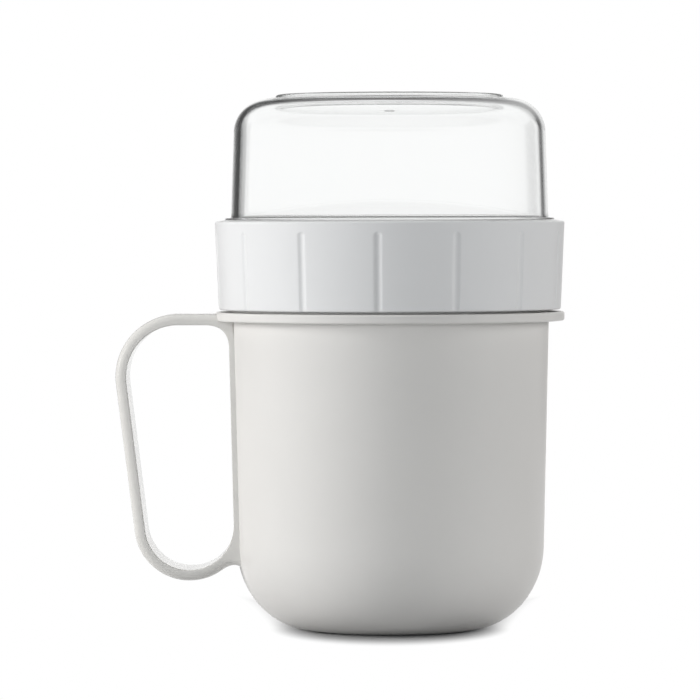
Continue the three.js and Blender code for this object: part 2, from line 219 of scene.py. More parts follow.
@dataclass(frozen=True)
class Surface:
    """A closed surface, in millimetres, before it becomes a mesh."""

    points: np.ndarray
    quads: np.ndarray
    triangles: np.ndarray

    def volume(self) -> float:
        """Adds up a sixth of the corner product, a times b cross c, of all triangles.

        Returns:
            The volume, in cubic millimetres, which is negative where faces point inwards.
        """
        halves = [self.quads[:, [0, 1, 2]], self.quads[:, [0, 2, 3]], self.triangles]
        a, b, c = np.moveaxis(self.points[np.concatenate(halves)], 1, 0)
        return float((a * np.cross(b, c)).sum() / 6)

    def to_object(self, name: str) -> bpy.types.Object:
        """Makes a smooth-shaded object with its faces pointing out.

        Args:
            name: The object's name.

        Returns:
            The object, at the origin, with its place in its mesh.
        """
        turn = slice(None, None, -1) if self.volume() < 0 else slice(None)
        corners = np.concatenate([self.quads[:, turn].ravel(), self.triangles[:, turn].ravel()])
        sizes = np.concatenate([np.full(len(self.quads), 4), np.full(len(self.triangles), 3)])
        mesh = bpy.data.meshes.new(name)
        mesh.vertices.add(len(self.points))
        mesh.vertices.foreach_set("co", (self.points * MM).astype(np.float32).ravel())
        mesh.loops.add(len(corners))
        mesh.loops.foreach_set("vertex_index", corners.astype(np.int32))
        mesh.polygons.add(len(sizes))
        mesh.polygons.foreach_set("loop_start", (np.cumsum(sizes) - sizes).astype(np.int32))
        mesh.update(calc_edges=True)
        mesh.validate()
        mesh.shade_smooth()
        mesh.set_sharp_from_angle(angle=math.radians(SHARP_EDGE_DEG))
        piece = bpy.data.objects.new(name, mesh)
        bpy.context.scene.collection.objects.link(piece)
        return piece


def lattice(rows: int, columns: int, closed: bool) -> np.ndarray:
    """Gives the quads between neighbouring rows and columns of a grid whose columns close on themselves.

    Args:
        rows: Number of rows.
        columns: Number of columns.
        closed: Whether the last row joins the first.

    Returns:
        Four point numbers for each quad.
    """
    row = np.arange(rows if closed else rows - 1)[:, None]
    column = np.arange(columns)[None, :]
    here, there = row * columns, (row + 1) % rows * columns
    beside = (column + 1) % columns
    corners = np.broadcast_arrays(here + column, here + beside, there + beside, there + column)
    return np.stack(corners, axis=-1).reshape(-1, 4)


Swell = Callable[[np.ndarray, np.ndarray, np.ndarray], np.ndarray]


def turned(profile: np.ndarray, angles: np.ndarray, swell: Swell | None = None) -> Surface:
    """Carries a profile round the cup's axis.

    A point at radius r, height z and angle a lies at ((r + s) cos a, (r + s) sin a, z), where s is the
    swell there. A profile that starts and ends on the axis closes in two poles, and any other one closes
    on itself.

    Args:
        profile: Rows of radius and height.
        angles: The angles of the grid's columns, in radians.
        swell: Gives the growth in radius for columns of radius and height and a row of angles.

    Returns:
        The closed surface.
    """
    on_axis = profile[:, 0] < TINY
    radius, height = (column[:, None] for column in profile[~on_axis].T)
    angle = angles[None, :]
    grown = radius + (swell(radius, height, angle) if swell else 0)
    grown, tall = np.broadcast_arrays(grown, height + 0 * angle)
    points = np.stack([grown * np.cos(angle), grown * np.sin(angle), tall], axis=-1).reshape(-1, 3)
    rows, columns = len(radius), len(angles)
    poles = profile[on_axis][:, 1]
    points = np.concatenate([points, np.stack([0 * poles, 0 * poles, poles], axis=1)])
    first = np.arange(columns)
    last = (rows - 1) * columns + first
    top, bottom = rows * columns, rows * columns + 1
    fans = [
        np.stack([np.roll(first, -1), first, np.full(columns, top)], axis=1),
        np.stack([last, np.roll(last, -1), np.full(columns, bottom)], axis=1),
    ]
    triangles = np.concatenate(fans) if len(poles) else np.zeros((0, 3), int)
    return Surface(points, lattice(rows, columns, closed=not len(poles)), triangles)


def even_angles(columns: int) -> np.ndarray:
    """Gives evenly spread angles for a turned surface's columns."""
    return 2 * np.pi * np.arange(columns) / columns


@dataclass(frozen=True)
class Thread:
    """Short parallel thread ridges, evenly spread round an upright neck or bore.

    Attributes:
        wall: Radius of the neck or bore.
        low_end: Height of the ridges' low ends.
        stand: How far the ridges stand out; less than 0 in a bore.
        starts: How many ridges there are.
        pitch: Height between neighbouring ridges.
        span_deg: How far round each ridge runs.
        run_out_deg: The part of that, at each end, in which it fades.
        root_width: Width of a ridge at its foot.
        crest_width: Width of its flat top.
        lead: How far under the low ends the refined wall starts.
        spacing: Distance between the refined wall's points.
    """

    wall: float
    low_end: float
    stand: float
    starts: int = 3
    pitch: float = 4.0
    span_deg: float = 100.0
    run_out_deg: float = 12.0
    root_width: float = 1.8
    crest_width: float = 0.9
    lead: float = 1.0
    spacing: float = 0.25

    def window(self) -> Window:
        """Gives the stretch of the wall that needs points close together for the ridges.

        Returns:
            The stretch from the lead under the ridges' low ends to a root width over their high ends.
        """
        climb = self.starts * self.pitch * self.span_deg / 360 + self.root_width
        heights = (self.low_end - self.lead, self.low_end + climb)
        return Window((self.wall - NEAR, self.wall + NEAR), heights, self.spacing)

    def swell(self, radius: np.ndarray, height: np.ndarray, angle: np.ndarray) -> np.ndarray:
        """Gives how far the ridges stand out.

        Each ridge follows a helix that climbs by starts times pitch a turn. It stands out fully within
        half the crest width of the helix, evenly less up to half the root width, and fades over the
        run-out at both ends.

        Args:
            radius: A column of radii.
            height: A column of heights.
            angle: A row of angles, in radians.

        Returns:
            The growth in radius for each height and angle, which is 0 off the wall.
        """
        first = 360 / self.starts * np.arange(self.starts)[:, None, None]
        along = (np.degrees(angle) - first) % 360
        off = np.abs(height - self.low_end - self.starts * self.pitch * along / 360)
        flank = np.clip((self.root_width / 2 - off) / ((self.root_width - self.crest_width) / 2), 0, 1)
        fade = np.clip(np.minimum(along, self.span_deg - along) / self.run_out_deg, 0, 1)
        on_wall = np.abs(radius - self.wall) < NEAR
        return self.stand * on_wall * (flank * fade).max(axis=0)


class Value:
    """A shader socket that takes part in Python arithmetic: each operation adds one Math node."""

    def __init__(self, shader: "Shader", socket: bpy.types.NodeSocket) -> None:
        """Wraps a socket of a shader's tree."""
        self.shader = shader
        self.socket = socket

    def _math(self, operation: str, first: "Value | float", second: "Value | float") -> "Value":
        """Adds a Math node for two values."""
        return self.shader.add("ShaderNodeMath", {"operation": operation}, {0: first, 1: second})

    def __add__(self, other: "Value | float") -> "Value":
        """Adds."""
        return self._math("ADD", self, other)

    __radd__ = __add__

    def __sub__(self, other: "Value | float") -> "Value":
        """Subtracts a value from this one."""
        return self._math("SUBTRACT", self, other)

    def __rsub__(self, other: "Value | float") -> "Value":
        """Subtracts this one from a value."""
        return self._math("SUBTRACT", other, self)

    def __mul__(self, other: "Value | float") -> "Value":
        """Multiplies."""
        return self._math("MULTIPLY", self, other)

    __rmul__ = __mul__

    def minimum(self, other: "Value | float") -> "Value":
        """Takes the smaller of two."""
        return self._math("MINIMUM", self, other)

    def maximum(self, other: "Value | float") -> "Value":
        """Takes the larger of two."""
        return self._math("MAXIMUM", self, other)


class Shader:
    """A node tree that is filled one node at a time."""

    def __init__(self, tree: bpy.types.NodeTree) -> None:
        """Empties the tree."""
        self.tree = tree
        tree.nodes.clear()

    def add(
        self,
        kind: str,
        settings: Mapping[str, object] | None = None,
        inputs: "Mapping[str | int, Input] | None" = None,
        output: str | int = 0,
    ) -> Value:
        """Adds a node.

        Args:
            kind: The node's type.
            settings: Its own settings, which are set first; stops are a ramp's two colours.
            inputs: Numbers, colours or other nodes' outputs for its sockets, by name or number.
            output: The output that is handed on.

        Returns:
            That output.
        """
        node = self.tree.nodes.new(kind)
        for name, setting in (settings or {}).items():
            if name == "stops":
                for element, place, colour in zip(node.color_ramp.elements, RAMP_ENDS, setting):
                    element.position = place
                    element.color = (*colour, 1.0)
            else:
                setattr(node, name, setting)
        for name, given in (inputs or {}).items():
            if isinstance(given, Value):
                self.tree.links.new(given.socket, node.inputs[name])
            else:
                node.inputs[name].default_value = given
        chosen = node.outputs[output] if node.outputs else None
        return Value(self, chosen)

    def spot(self) -> Value:
        """Gives the place on the piece, in metres, in the frame's own axes."""
        return self.add("ShaderNodeTexCoord", output="Object")

    def noise(self, place: Value, size_mm: float, detail: float = 2.0) -> Value:
        """Adds cloudy noise.

        Args:
            place: Where it is read.
            size_mm: The width of its blotches.
            detail: How many finer layers it has.

        Returns:
            Noise of about 0 to 1.
        """
        inputs = {"Vector": place, "Scale": 1 / (size_mm * MM), "Detail": detail, "Roughness": 0.5}
        return self.add("ShaderNodeTexNoise", {}, inputs, "Fac")

    def ramp(self, factor: Value, first: Colour, second: Colour) -> Value:
        """Turns noise into a colour between two."""
        return self.add("ShaderNodeValToRGB", {"stops": (first, second)}, {"Fac": factor}, "Color")

    def eased(self, factor: Value, start: "Value | float", end: float) -> Value:
        """Climbs smoothly from 0 where a factor is at its start to 1 where it is at its end."""
        inputs = {"Value": factor, "From Min": start, "From Max": end}
        return self.add("ShaderNodeMapRange", {"interpolation_type": "SMOOTHSTEP"}, inputs, "Result")

    def axes(self, vector: Value) -> list[Value]:
        """Gives a vector's three parts."""
        return [self.add("ShaderNodeSeparateXYZ", {}, {0: vector}, axis) for axis in "XYZ"]

    def ray(self, kind: str) -> Value:
        """Gives 1 for rays of a kind and 0 for all others."""
        return self.add("ShaderNodeLightPath", output=f"Is {kind} Ray")

    def bump(self, relief: Value, depth_mm: float) -> Value:
        """Gives the normal of a surface with a relief of 0 to 1 times a depth."""
        inputs = {"Height": relief, "Distance": depth_mm * MM, "Strength": 1.0}
        return self.add("ShaderNodeBump", {}, inputs, "Normal")

    def mix(self, share: Value, first: Value, second: Value) -> Value:
        """Mixes two shaders, from all of the first at 0 to all of the second at 1."""
        return self.add("ShaderNodeMixShader", {}, {0: share, 1: first, 2: second})


def new_shader(name: str) -> tuple[bpy.types.Material, Shader]:
    """Makes an empty node material.

    Args:
        name: The material's name.

    Returns:
        The material and the shader that fills it.
    """
    material = bpy.data.materials.new(name)
    material.use_nodes = True
    return material, Shader(material.node_tree)


def shade(colour: Colour, share: float) -> Colour:
    """Makes a colour lighter or darker by a share of itself."""
    return tuple(min(1.0, part * (1 + share)) for part in colour)


@dataclass(frozen=True)
class SatinPlastic:
    """Moulded satin plastic with faint flow marks, a fine speckle and a fine skin texture.

    Attributes:
        name: The material's name.
        colour: Its linear colour.
        flow: How far flow marks lighten and darken it.
        flow_mm: Width of the flow marks.
        speckle: How much the speckle adds to the flow marks.
        speckle_grains: Width of the speckle, in grains of the skin texture.
        roughness: Its mean roughness.
        flow_rough: How far the flow marks change the roughness.
        speckle_rough: How far the speckle changes it.
        skin_mm: Width of the skin texture's grains.
        skin_depth_mm: Depth of the skin texture.
        ior: Its index of refraction.
        softness: Share of light that scatters under the surface.
        scatter_mm: How far that light travels.
        shine: How much it mirrors, where 0.5 is plain plastic.
        coat: Share of the surface that has a smooth skin, which shines at a flat angle.
        coat_roughness: Roughness of that skin.
    """

    name: str
    colour: Colour
    flow: float = 0.012
    flow_mm: float = 38.0
    speckle: float = 0.15
    speckle_grains: float = 6.0
    roughness: float = 0.45
    flow_rough: float = 0.06
    speckle_rough: float = 0.08
    skin_mm: float = 0.5
    skin_depth_mm: float = 0.006
    ior: float = 1.49
    softness: float = 0.0
    scatter_mm: float = 2.0
    shine: float = 0.5
    coat: float = 0.0
    coat_roughness: float = 0.12

    def material(self) -> bpy.types.Material:
        """Builds the material.

        Returns:
            A Principled material whose colour drifts with slow noise, whose roughness follows finer noise
            and whose normal follows the skin texture.
        """
        material, shader = new_shader(self.name)
        spot = shader.spot()
        slow = shader.noise(spot, self.flow_mm, detail=3.0)
        fine = shader.noise(spot, self.speckle_grains * self.skin_mm, detail=1.0) - NOISE_MIDDLE
        skin = shader.noise(spot, self.skin_mm, detail=1.0)
        dark, pale = (shade(self.colour, share) for share in (-self.flow, self.flow))
        roughness = self.roughness + self.flow_rough * (slow - NOISE_MIDDLE) + self.speckle_rough * fine
        surface = {
            "Base Color": shader.ramp(slow + self.speckle * fine, dark, pale),
            "Roughness": roughness,
            "Normal": shader.bump(skin, self.skin_depth_mm),
            "IOR": self.ior,
            "Subsurface Weight": self.softness,
            "Subsurface Radius": (self.scatter_mm * MM,) * 3,
            "Specular IOR Level": self.shine,
            "Coat Weight": self.coat,
            "Coat Roughness": self.coat_roughness,
        }
        finished = shader.add("ShaderNodeBsdfPrincipled", {}, surface)
        shader.add("ShaderNodeOutputMaterial", {}, {"Surface": finished})
        return material


@dataclass(frozen=True)
class ClearPlastic:
    """Clear polished plastic with the slow ripple of a moulded wall.

    Attributes:
        name: The material's name.
        tint: What one pass through its surface leaves of white light.
        cloud: How much darker than that it is in places.
        cloud_mm: Width of those places.
        ior: Its index of refraction.
        roughness: Its mean roughness.
        haze: The share of it that is left without haze, and the share that full haze adds.
        haze_mm: Width of the haze's blotches.
        ripple_mm: Width of the ripple.
        ripple_depth_mm: Depth of the ripple.
        loss: Share of light that the plastic takes, for each metre inside it.
        loss_colour: What it takes least.
    """

    name: str
    tint: Colour
    cloud: float = 0.006
    cloud_mm: float = 25.0
    ior: float = 1.5
    roughness: float = 0.012
    haze: tuple[float, float] = (0.6, 0.8)
    haze_mm: float = 2.5
    ripple_mm: float = 9.0
    ripple_depth_mm: float = 0.004
    loss: float = 1.0
    loss_colour: Colour = (0.0, 0.04, 0.05)

    def material(self) -> bpy.types.Material:
        """Builds the material.

        Returns:
            A Principled material that lets light through, with a tint and a roughness that vary a little.
            Long ways inside the plastic, along a wall, come out darker than short ones across it.
        """
        material, shader = new_shader(self.name)
        spot = shader.spot()
        cloud = shader.noise(spot, self.cloud_mm)
        haze = shader.noise(spot, self.haze_mm)
        ripple = shader.noise(spot, self.ripple_mm, detail=0.0)
        surface = {
            "Base Color": shader.ramp(cloud, shade(self.tint, -self.cloud), self.tint),
            "Roughness": self.roughness * (self.haze[0] + self.haze[1] * haze),
            "Normal": shader.bump(ripple, self.ripple_depth_mm),
            "IOR": self.ior,
            "Transmission Weight": 1.0,
        }
        finished = shader.add("ShaderNodeBsdfPrincipled", {}, surface)
        taken = {"Color": (*self.loss_colour, 1.0), "Density": self.loss}
        inside = shader.add("ShaderNodeVolumeAbsorption", {}, taken)
        shader.add("ShaderNodeOutputMaterial", {}, {"Surface": finished, "Volume": inside})
        return material


MUG_FINISH = SatinPlastic("mug_satin_grey", srgb(210, 208, 205), roughness=0.34, shine=0.15)
HANDLE_FINISH = SatinPlastic("handle_satin_grey", srgb(201, 199, 195), roughness=0.34, coat=1.0)
COLLAR_FINISH = SatinPlastic("collar_cool_grey", srgb(213, 213, 213), roughness=0.4)
DIVIDER_FINISH = SatinPlastic("divider_pale_grey", srgb(222, 223, 221), roughness=0.5)
SEAL_FINISH = SatinPlastic(
    "seal_white_silicone", srgb(232, 232, 228), roughness=0.62, skin_mm=0.9, softness=0.3
)
BOWL_FINISH = ClearPlastic("bowl_clear", (0.985, 0.99, 0.988))


def fit(piece: bpy.types.Object, material: bpy.types.Material, body: Body, node: str) -> None:
    """Dresses a piece and ties it to the frame.

    Args:
        piece: The finished piece.
        material: Its finish.
        body: The body that it rides on.
        node: The frame node that it stands for.
    """
    piece.data.materials.append(material)
    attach(piece, body.value)
    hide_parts(node)
    points = len(piece.data.vertices)
    LOG.info("%s: %d points, rides on %s, stands for %s", piece.name, points, body.value, node)


@dataclass
class Mug:
    """The mug: a moulded shell with a stop flange and a threaded neck, and the band handle welded to it."""

    rim: float
    flange_radius: float
    top_radius: float = 47.65
    low_radius: float = 46.1
    wall: float = 2.1
    floor: float = 2.4
    base_reach: float = 22.0
    base_rise: float = 24.5
    flange_thick: float = 2.7
    neck_rise: float = 10.05
    neck_step: float = 0.25
    edge_round: float = 0.6
    inner_round: float = 0.3
    ridge_height: float = 1.3
    ridge_low_end: float = 4.15
    ridge_spacing: float = 0.18
    columns: int = 320

    @classmethod
    def from_frame(cls) -> "Mug":
        """Takes the outer sizes from the frame."""
        _, high = box_of("mug_shell")
        return cls(rim=high[2], flange_radius=high[0])

    @property
    def flange_top(self) -> float:
        """Height of the stop flange's upper face."""
        return self.rim - self.neck_rise

    @property
    def flange_bottom(self) -> float:
        """Height of the stop flange's lower face."""
        return self.flange_top - self.flange_thick

    @property
    def draft(self) -> float:
        """How much the straight wall's radius grows for each millimetre of height."""
        return (self.top_radius - self.low_radius) / (self.flange_bottom - self.base_rise)

    def wall_radius(self, height: np.ndarray | float) -> np.ndarray:
        """Gives the outside radius: a straight drafted wall over a quarter of an ellipse.

        Args:
            height: Heights over the table.

        Returns:
            The radius at each height.
        """
        wall = self.low_radius + self.draft * (height - self.base_rise)
        drop = np.clip((self.base_rise - height) / self.base_rise, 0, 1)
        bend = self.low_radius - self.base_reach * (1 - np.sqrt(1 - drop**2))
        return np.where(height < self.base_rise, bend, wall)

    def shell(self) -> Surface:
        """Turns the shell: up the outside with its thread ridges, and down the inside to the floor.

        Returns:
            The shell's surface.
        """
        neck = self.top_radius - self.neck_step
        mouth = neck - self.wall
        flat = self.low_radius - self.base_reach
        foot = self.low_radius - self.draft * self.base_rise
        inner_draft = (mouth - self.low_radius + self.wall) / (self.rim - self.base_rise)
        inner_foot = self.low_radius - self.wall - inner_draft * (self.base_rise - self.floor)
        corners = [
            Corner(0, 0),
            Corner(foot, 0, foot - flat, self.base_rise),
            Corner(self.top_radius, self.flange_bottom, self.inner_round),
            Corner(self.flange_radius, self.flange_bottom, self.edge_round),
            Corner(self.flange_radius, self.flange_top, self.edge_round),
            Corner(neck, self.flange_top, self.inner_round),
            Corner(neck, self.rim, self.edge_round),
            Corner(mouth, self.rim, self.edge_round),
            Corner(inner_foot, self.floor, self.base_rise - self.floor, inner_foot - flat),
            Corner(0, self.floor),
        ]
        thread = Thread(neck, self.flange_top + self.ridge_low_end, self.ridge_height)
        reach = (thread.low_end - thread.root_width, self.rim - self.edge_round)
        close = Window((neck - NEAR, neck + NEAR), reach, self.ridge_spacing)
        profile = close.refine(drawn(corners, closed=False, steps=14))
        return turned(profile, even_angles(self.columns), thread.swell)

    def build(self) -> None:
        """Makes and dresses the shell and the handle."""
        fit(self.shell().to_object("mug_body"), MUG_FINISH.material(), Body.MUG, "mug_shell")
        Handle.on(self).build()


@dataclass
class Handle:
    """The band handle, one closed loop whose straight side lies on the mug's wall.

    The trims move it from the solid's box to where the photograph shows it: how much less far it reaches,
    and how much higher its upper arm and its lower bend lie. The edge shares limit its roundings where it
    is thin, and the steps count the points along each stretch of its loop and along each rounding of its
    section.
    """

    mug: Mug
    reach: float
    top: float
    bottom: float
    half_depth: float
    thick: float = 3.3
    upper_round: float = 18.8
    lower_round: float = 16.55
    pad_proud: float = 0.45
    corner_round: float = 7.0
    heel_arc: float = 5.5
    heel_lead: float = 4.2
    heel_drop: float = 3.8
    outer_edge: float = 2.4
    outer_edge_share: float = 0.75
    inner_edge: float = 0.35
    inner_edge_share: float = 0.2
    root_depth: float = 0.6
    reach_trim: float = 0.45
    top_trim: float = 0.35
    bottom_trim: float = 0.5
    arm_steps: int = 6
    upper_steps: int = 36
    leg_steps: int = 10
    lower_steps: int = 40
    heel_steps: int = 16
    root_steps: int = 8
    section_steps: int = 6
    section_guard: float = 0.15

    @classmethod
    def on(cls, mug: Mug) -> "Handle":
        """Takes the outer sizes from the frame.

        Args:
            mug: The mug that the handle is welded to.

        Returns:
            The handle in the frame's sizes.
        """
        low, high = box_of("handle")
        return cls(
            mug=mug,
            reach=-low[0] - cls.reach_trim,
            top=high[2] + cls.top_trim,
            bottom=low[2] + cls.bottom_trim,
            half_depth=high[1],
        )

    def edges(self) -> tuple[np.ndarray, np.ndarray, np.ndarray]:
        """Lays out the band's inner and outer edge, seen from the front, once round the closed loop.

        From the mug the upper arm runs out, bends down into the straight leg and bends back under it to
        the wall. A rounded heel meets the wall there, a thin pad climbs the wall, and a rounded corner
        joins it to the arm. Where the band lies on the mug, its outer edge is sunk a little into the wall.

        Returns:
            Rows of x and z for the inner edge, the same for the outer edge, and how far the outer edge
            there follows the mug's round wall, 0 to 1.
        """
        top, under = self.top, self.top - self.thick
        upper = np.array([self.upper_round - self.reach, top - self.upper_round])
        low_height = self.bottom + self.lower_round
        inner_up, inner_low = self.upper_round - self.thick, self.lower_round - self.thick
        lower = np.array([self.pad_x(low_height) - inner_low, low_height])
        gap = lower - upper
        lean = np.arccos((self.upper_round - self.lower_round) / np.hypot(*gap))
        normal = np.arctan2(gap[1], gap[0]) + 2 * np.pi - lean
        heel_x = -float(self.mug.wall_radius(low_height))
        heel_turn = 2 * np.pi - np.arccos((heel_x - lower[0]) / self.lower_round)
        heel_height = low_height + self.lower_round * np.sin(heel_turn)
        heel_start = heel_turn - self.heel_arc / self.lower_round
        heel_end = heel_height - self.heel_drop
        corner_height = under - self.corner_round
        arm_start = self.pad_x(under) - self.corner_round

        def bend(centre: np.ndarray, radius: float, angles: np.ndarray) -> np.ndarray:
            """Gives points on a circle."""
            return centre + radius * np.stack([np.cos(angles), np.sin(angles)], axis=1)

        def line(start: Point, end: Point, count: int) -> np.ndarray:
            """Gives evenly spaced points on a line, without its end."""
            t = np.arange(count)[:, None] / count
            return (1 - t) * start + t * end

        def curve(start: Point, middle: Point, end: Point, count: int) -> np.ndarray:
            """Gives points on a quadratic curve, without its end."""
            t = np.arange(count)[:, None] / count
            return (1 - t) ** 2 * start + 2 * t * (1 - t) * middle + t**2 * end

        def sunk(height: float) -> list[float]:
            """Gives the point under the mug's skin at a height."""
            return [self.root_depth - float(self.mug.wall_radius(height)), height]

        around_upper = np.linspace(np.pi / 2, normal, self.upper_steps, endpoint=False)
        around_lower = np.linspace(normal, heel_start, self.lower_steps, endpoint=False)
        around_heel = np.linspace(heel_start, 2 * np.pi, self.heel_steps + self.root_steps, endpoint=False)
        off_leg = np.array([np.cos(normal), np.sin(normal)])
        heel_in = bend(lower, self.lower_round, np.array([heel_start]))[0]
        heel_peak = heel_in + self.heel_lead * np.array([-np.sin(heel_start), np.cos(heel_start)])
        pad_low = [self.pad_x(low_height), low_height]
        pad_high = [self.pad_x(corner_height), corner_height]
        inner = [
            line([arm_start, under], [upper[0], under], self.arm_steps),
            bend(upper, inner_up, around_upper),
            line(upper + inner_up * off_leg, lower + inner_low * off_leg, self.leg_steps),
            bend(lower, inner_low, around_lower),
            bend(lower, inner_low, around_heel),
            line(pad_low, pad_high, self.leg_steps),
            curve(pad_high, [self.pad_x(under), under], [arm_start, under], 2 * self.root_steps),
        ]
        outer = [
            line([arm_start, top], [upper[0], top], self.arm_steps),
            bend(upper, self.upper_round, around_upper),
            line(upper + self.upper_round * off_leg, lower + self.lower_round * off_leg, self.leg_steps),
            bend(lower, self.lower_round, around_lower),
            curve(heel_in, heel_peak, sunk(heel_end), self.heel_steps),
            line(sunk(heel_end), sunk(low_height), self.root_steps),
            line(sunk(low_height), sunk(corner_height), self.leg_steps),
            line(sunk(corner_height), sunk(top), self.root_steps),
            line(sunk(top), [arm_start, top], self.root_steps),
        ]
        free = np.zeros(self.arm_steps + self.upper_steps + self.leg_steps + self.lower_steps)
        heel = np.arange(self.heel_steps) / self.heel_steps
        on_mug = np.ones(2 * self.root_steps + self.leg_steps)
        arm = 1 - np.arange(self.root_steps) / self.root_steps
        follows = np.concatenate([free, heel, on_mug, arm])
        return np.concatenate(inner), np.concatenate(outer), follows

    def pad_x(self, height: float) -> float:
        """Gives the place of the pad's free face at a height."""
        return -float(self.mug.wall_radius(height)) - self.pad_proud

    def band(self) -> Surface:
        """Carries the band's rounded section round its loop.

        A section point lies between the inner and the outer edge at a depth a from the inner one, and
        across the hand at y. Its four corners are arcs: small ones on the inside, larger ones on the
        outside. Where the band follows the mug, a point of the outer half moves by r - sqrt(r^2 - y^2),
        so that it stays under the round wall.

        Returns:
            The band's surface.
        """
        inner, outer, follows = self.edges()
        across = outer - inner
        thick = np.linalg.norm(across, axis=1)[:, None]
        turn = np.linspace(0, np.pi / 2, self.section_steps + 1)
        guard, flat = [self.section_guard], 0 * turn

        def all_round(*corner: Sequence[float]) -> np.ndarray:
            """Repeats one corner's values for all four, turned round for every second one."""
            values = np.concatenate(corner)
            return np.tile(np.concatenate([values, values[::-1]]), 2)

        towards_a = all_round([1], np.sin(turn[::-1]), [0])
        towards_y = all_round([0], np.cos(turn[::-1]), [1])
        back_a = all_round([0], flat, guard)
        back_y = all_round(guard, flat, [0])
        side = np.repeat([1, 1, -1, -1], len(turn) + 2)
        outside = np.repeat([0, 1, 1, 0], len(turn) + 2)
        outer_edge = np.minimum(self.outer_edge, self.outer_edge_share * thick)
        inner_edge = np.minimum(self.inner_edge, self.inner_edge_share * thick)
        edge = np.where(outside, outer_edge, inner_edge)
        sunk_in = edge * (1 - towards_a) + np.minimum(back_a, self.inner_edge_share * thick)
        depth = np.where(outside, thick - sunk_in, sunk_in)
        y = side * (self.half_depth - edge * (1 - towards_y) - back_y)
        place = inner[:, None] + across[:, None] * (depth / thick)[..., None]
        radius = self.mug.wall_radius(place[..., 1]) - self.root_depth
        sag = radius - np.sqrt(radius**2 - y**2)
        x = place[..., 0] + outside * follows[:, None] * sag
        points = np.stack([x, y, place[..., 1]], axis=-1)
        rows, columns = points.shape[:2]
        return Surface(points.reshape(-1, 3), lattice(rows, columns, closed=True), np.zeros((0, 3), int))

    def build(self) -> None:
        """Makes and dresses the handle."""
        fit(self.band().to_object("handle_band"), HANDLE_FINISH.material(), Body.MUG, "handle")


